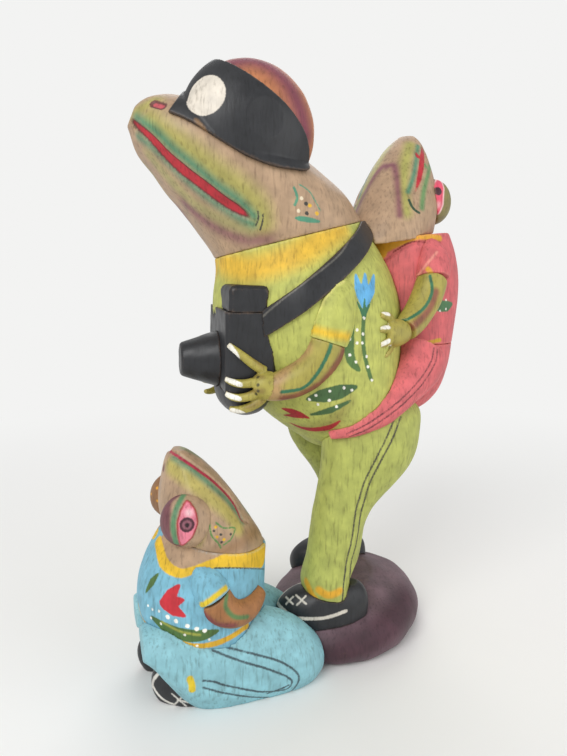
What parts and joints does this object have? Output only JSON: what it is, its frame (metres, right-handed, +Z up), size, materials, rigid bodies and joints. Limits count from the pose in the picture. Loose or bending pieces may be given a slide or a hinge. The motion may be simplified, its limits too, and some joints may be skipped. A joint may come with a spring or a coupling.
{
  "type": "frog figurine",
  "caption": "Carved and painted wooden frog group: a standing frog in sunglasses with a camera, a small frog on its back and another kneeling at its feet, on a rock base.",
  "frame": {"origin": "middle of the rock base's flat underside", "axes": "+Z up, the standing frog faces -Y, its own left side is +X"},
  "size_m": [0.1342, 0.2291, 0.364],
  "materials": {
    "rock_paint": "matt painted wood",
    "skin_paint": "satin painted wood",
    "eyelid_paint": "satin painted wood",
    "black_paint": "satin painted wood, worn to brown at the edges",
    "green_shirt_paint": "matt painted wood",
    "green_trouser_paint": "matt painted wood",
    "blue_shirt_paint": "matt painted wood",
    "blue_trouser_paint": "matt painted wood",
    "pink_shirt_paint": "matt painted wood",
    "pink_trouser_paint": "matt painted wood",
    "bare_wood": "bare turned wood"
  },
  "bodies": {
    "root": {"rock_base": "rock_paint", "standing_torso": "green_shirt_paint", "standing_head": "skin_paint", "sunglasses": "black_paint", "camera_body": "black_paint", "camera_prism_housing": "black_paint", "camera_lens": "black_paint", "camera_grip": "black_paint", "rider_torso": "pink_shirt_paint", "rider_trousers": "pink_trouser_paint", "rider_head": "skin_paint", "kneeling_torso": "blue_shirt_paint", "kneeling_head": "skin_paint", "head_dowel": "bare_wood", "camera_dowel": "bare_wood", "rider_dowel": "bare_wood", "standing_left_eye": "eyelid_paint", "standing_left_leg": "green_trouser_paint", "standing_left_shoe": "black_paint", "standing_left_sleeve": "green_shirt_paint", "standing_left_forearm": "skin_paint", "standing_left_hand": "skin_paint", "left_leg_dowel": "bare_wood", "left_camera_strap": "black_paint", "rider_left_eye": "eyelid_paint", "rider_left_leg": "pink_trouser_paint", "rider_left_sleeve": "pink_shirt_paint", "rider_left_forearm": "skin_paint", "rider_left_hand": "skin_paint", "kneeling_left_eye": "eyelid_paint", "kneeling_left_leg": "blue_trouser_paint", "kneeling_left_shoe": "black_paint", "kneeling_left_sleeve": "blue_shirt_paint", "kneeling_left_forearm": "skin_paint", "standing_right_eye": "eyelid_paint", "standing_right_leg": "green_trouser_paint", "standing_right_shoe": "black_paint", "standing_right_sleeve": "green_shirt_paint", "standing_right_forearm": "skin_paint", "standing_right_hand": "skin_paint", "right_leg_dowel": "bare_wood", "right_camera_strap": "black_paint", "rider_right_eye": "eyelid_paint", "rider_right_leg": "pink_trouser_paint", "rider_right_sleeve": "pink_shirt_paint", "rider_right_forearm": "skin_paint", "rider_right_hand": "skin_paint", "kneeling_right_eye": "eyelid_paint", "kneeling_right_leg": "blue_trouser_paint", "kneeling_right_shoe": "black_paint", "kneeling_right_sleeve": "blue_shirt_paint", "kneeling_right_forearm": "skin_paint"}
  },
  "joints": []
}
